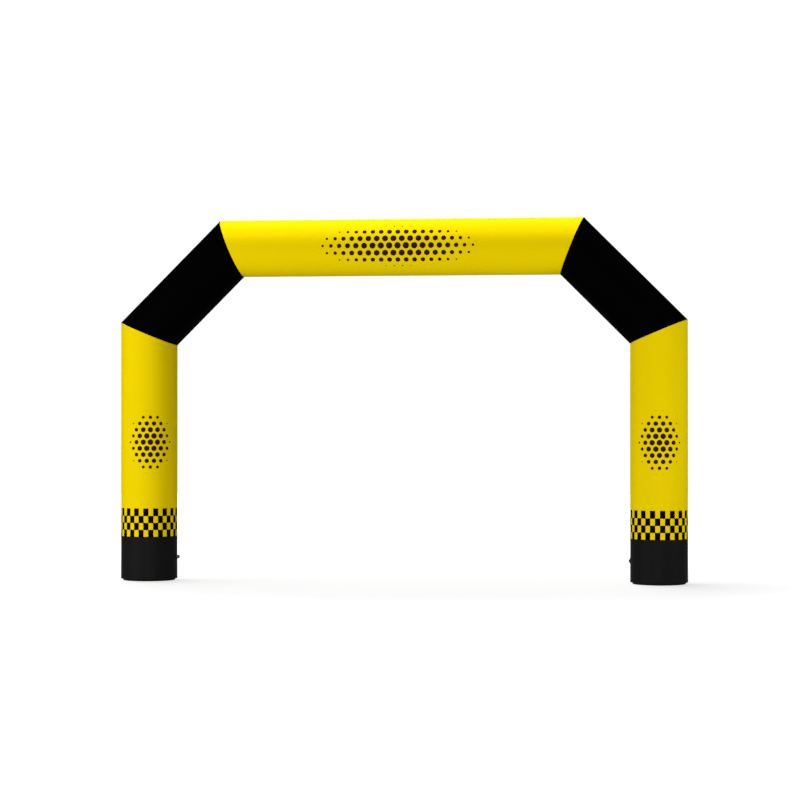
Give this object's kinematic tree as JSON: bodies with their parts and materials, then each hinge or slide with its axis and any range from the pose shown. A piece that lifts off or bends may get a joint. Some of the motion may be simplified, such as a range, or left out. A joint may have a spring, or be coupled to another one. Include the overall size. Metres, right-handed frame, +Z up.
{
  "type": "inflatable arch",
  "caption": "Free-standing inflatable arch: a yellow air-filled beam and legs, black corners and feet, checks above the feet, peg loops at the base seams and air valves.",
  "frame": {"origin": "on the ground, midway between the centres of the two base discs", "axes": "+X along the span from the foot with the inflation valve to the foot with the relief valve, +Y from front to back, +Z up"},
  "size_m": [6.028, 0.6266, 3.836],
  "materials": {
    "yellow_cloth": "coated cloth, satin",
    "black_cloth": "coated cloth, satin",
    "black_webbing": "woven webbing, matt",
    "valve_plastic": "moulded, fine matt"
  },
  "bodies": {
    "arch": {"beam_panel": "yellow_cloth", "corner_panel_left": "black_cloth", "corner_panel_right": "black_cloth", "leg_panel_left": "yellow_cloth", "leg_panel_right": "yellow_cloth", "foot_panel_left": "black_cloth", "foot_panel_right": "black_cloth", "base_disc_left": "black_cloth", "base_disc_right": "black_cloth", "anchor_loop_left_front": "black_webbing", "anchor_loop_left_back": "black_webbing", "anchor_loop_right_front": "black_webbing", "anchor_loop_right_back": "black_webbing", "inflation_valve": "valve_plastic", "relief_valve": "valve_plastic"},
    "cap": {"inflation_cap": "valve_plastic"}
  },
  "joints": [
    {"name": "cap_turn", "type": "hinge", "parent": "arch", "child": "cap", "pos_m": [-2.414, 0, 0.249], "axis": [1, 0, 0], "range_deg": [0, 90]}
  ]
}
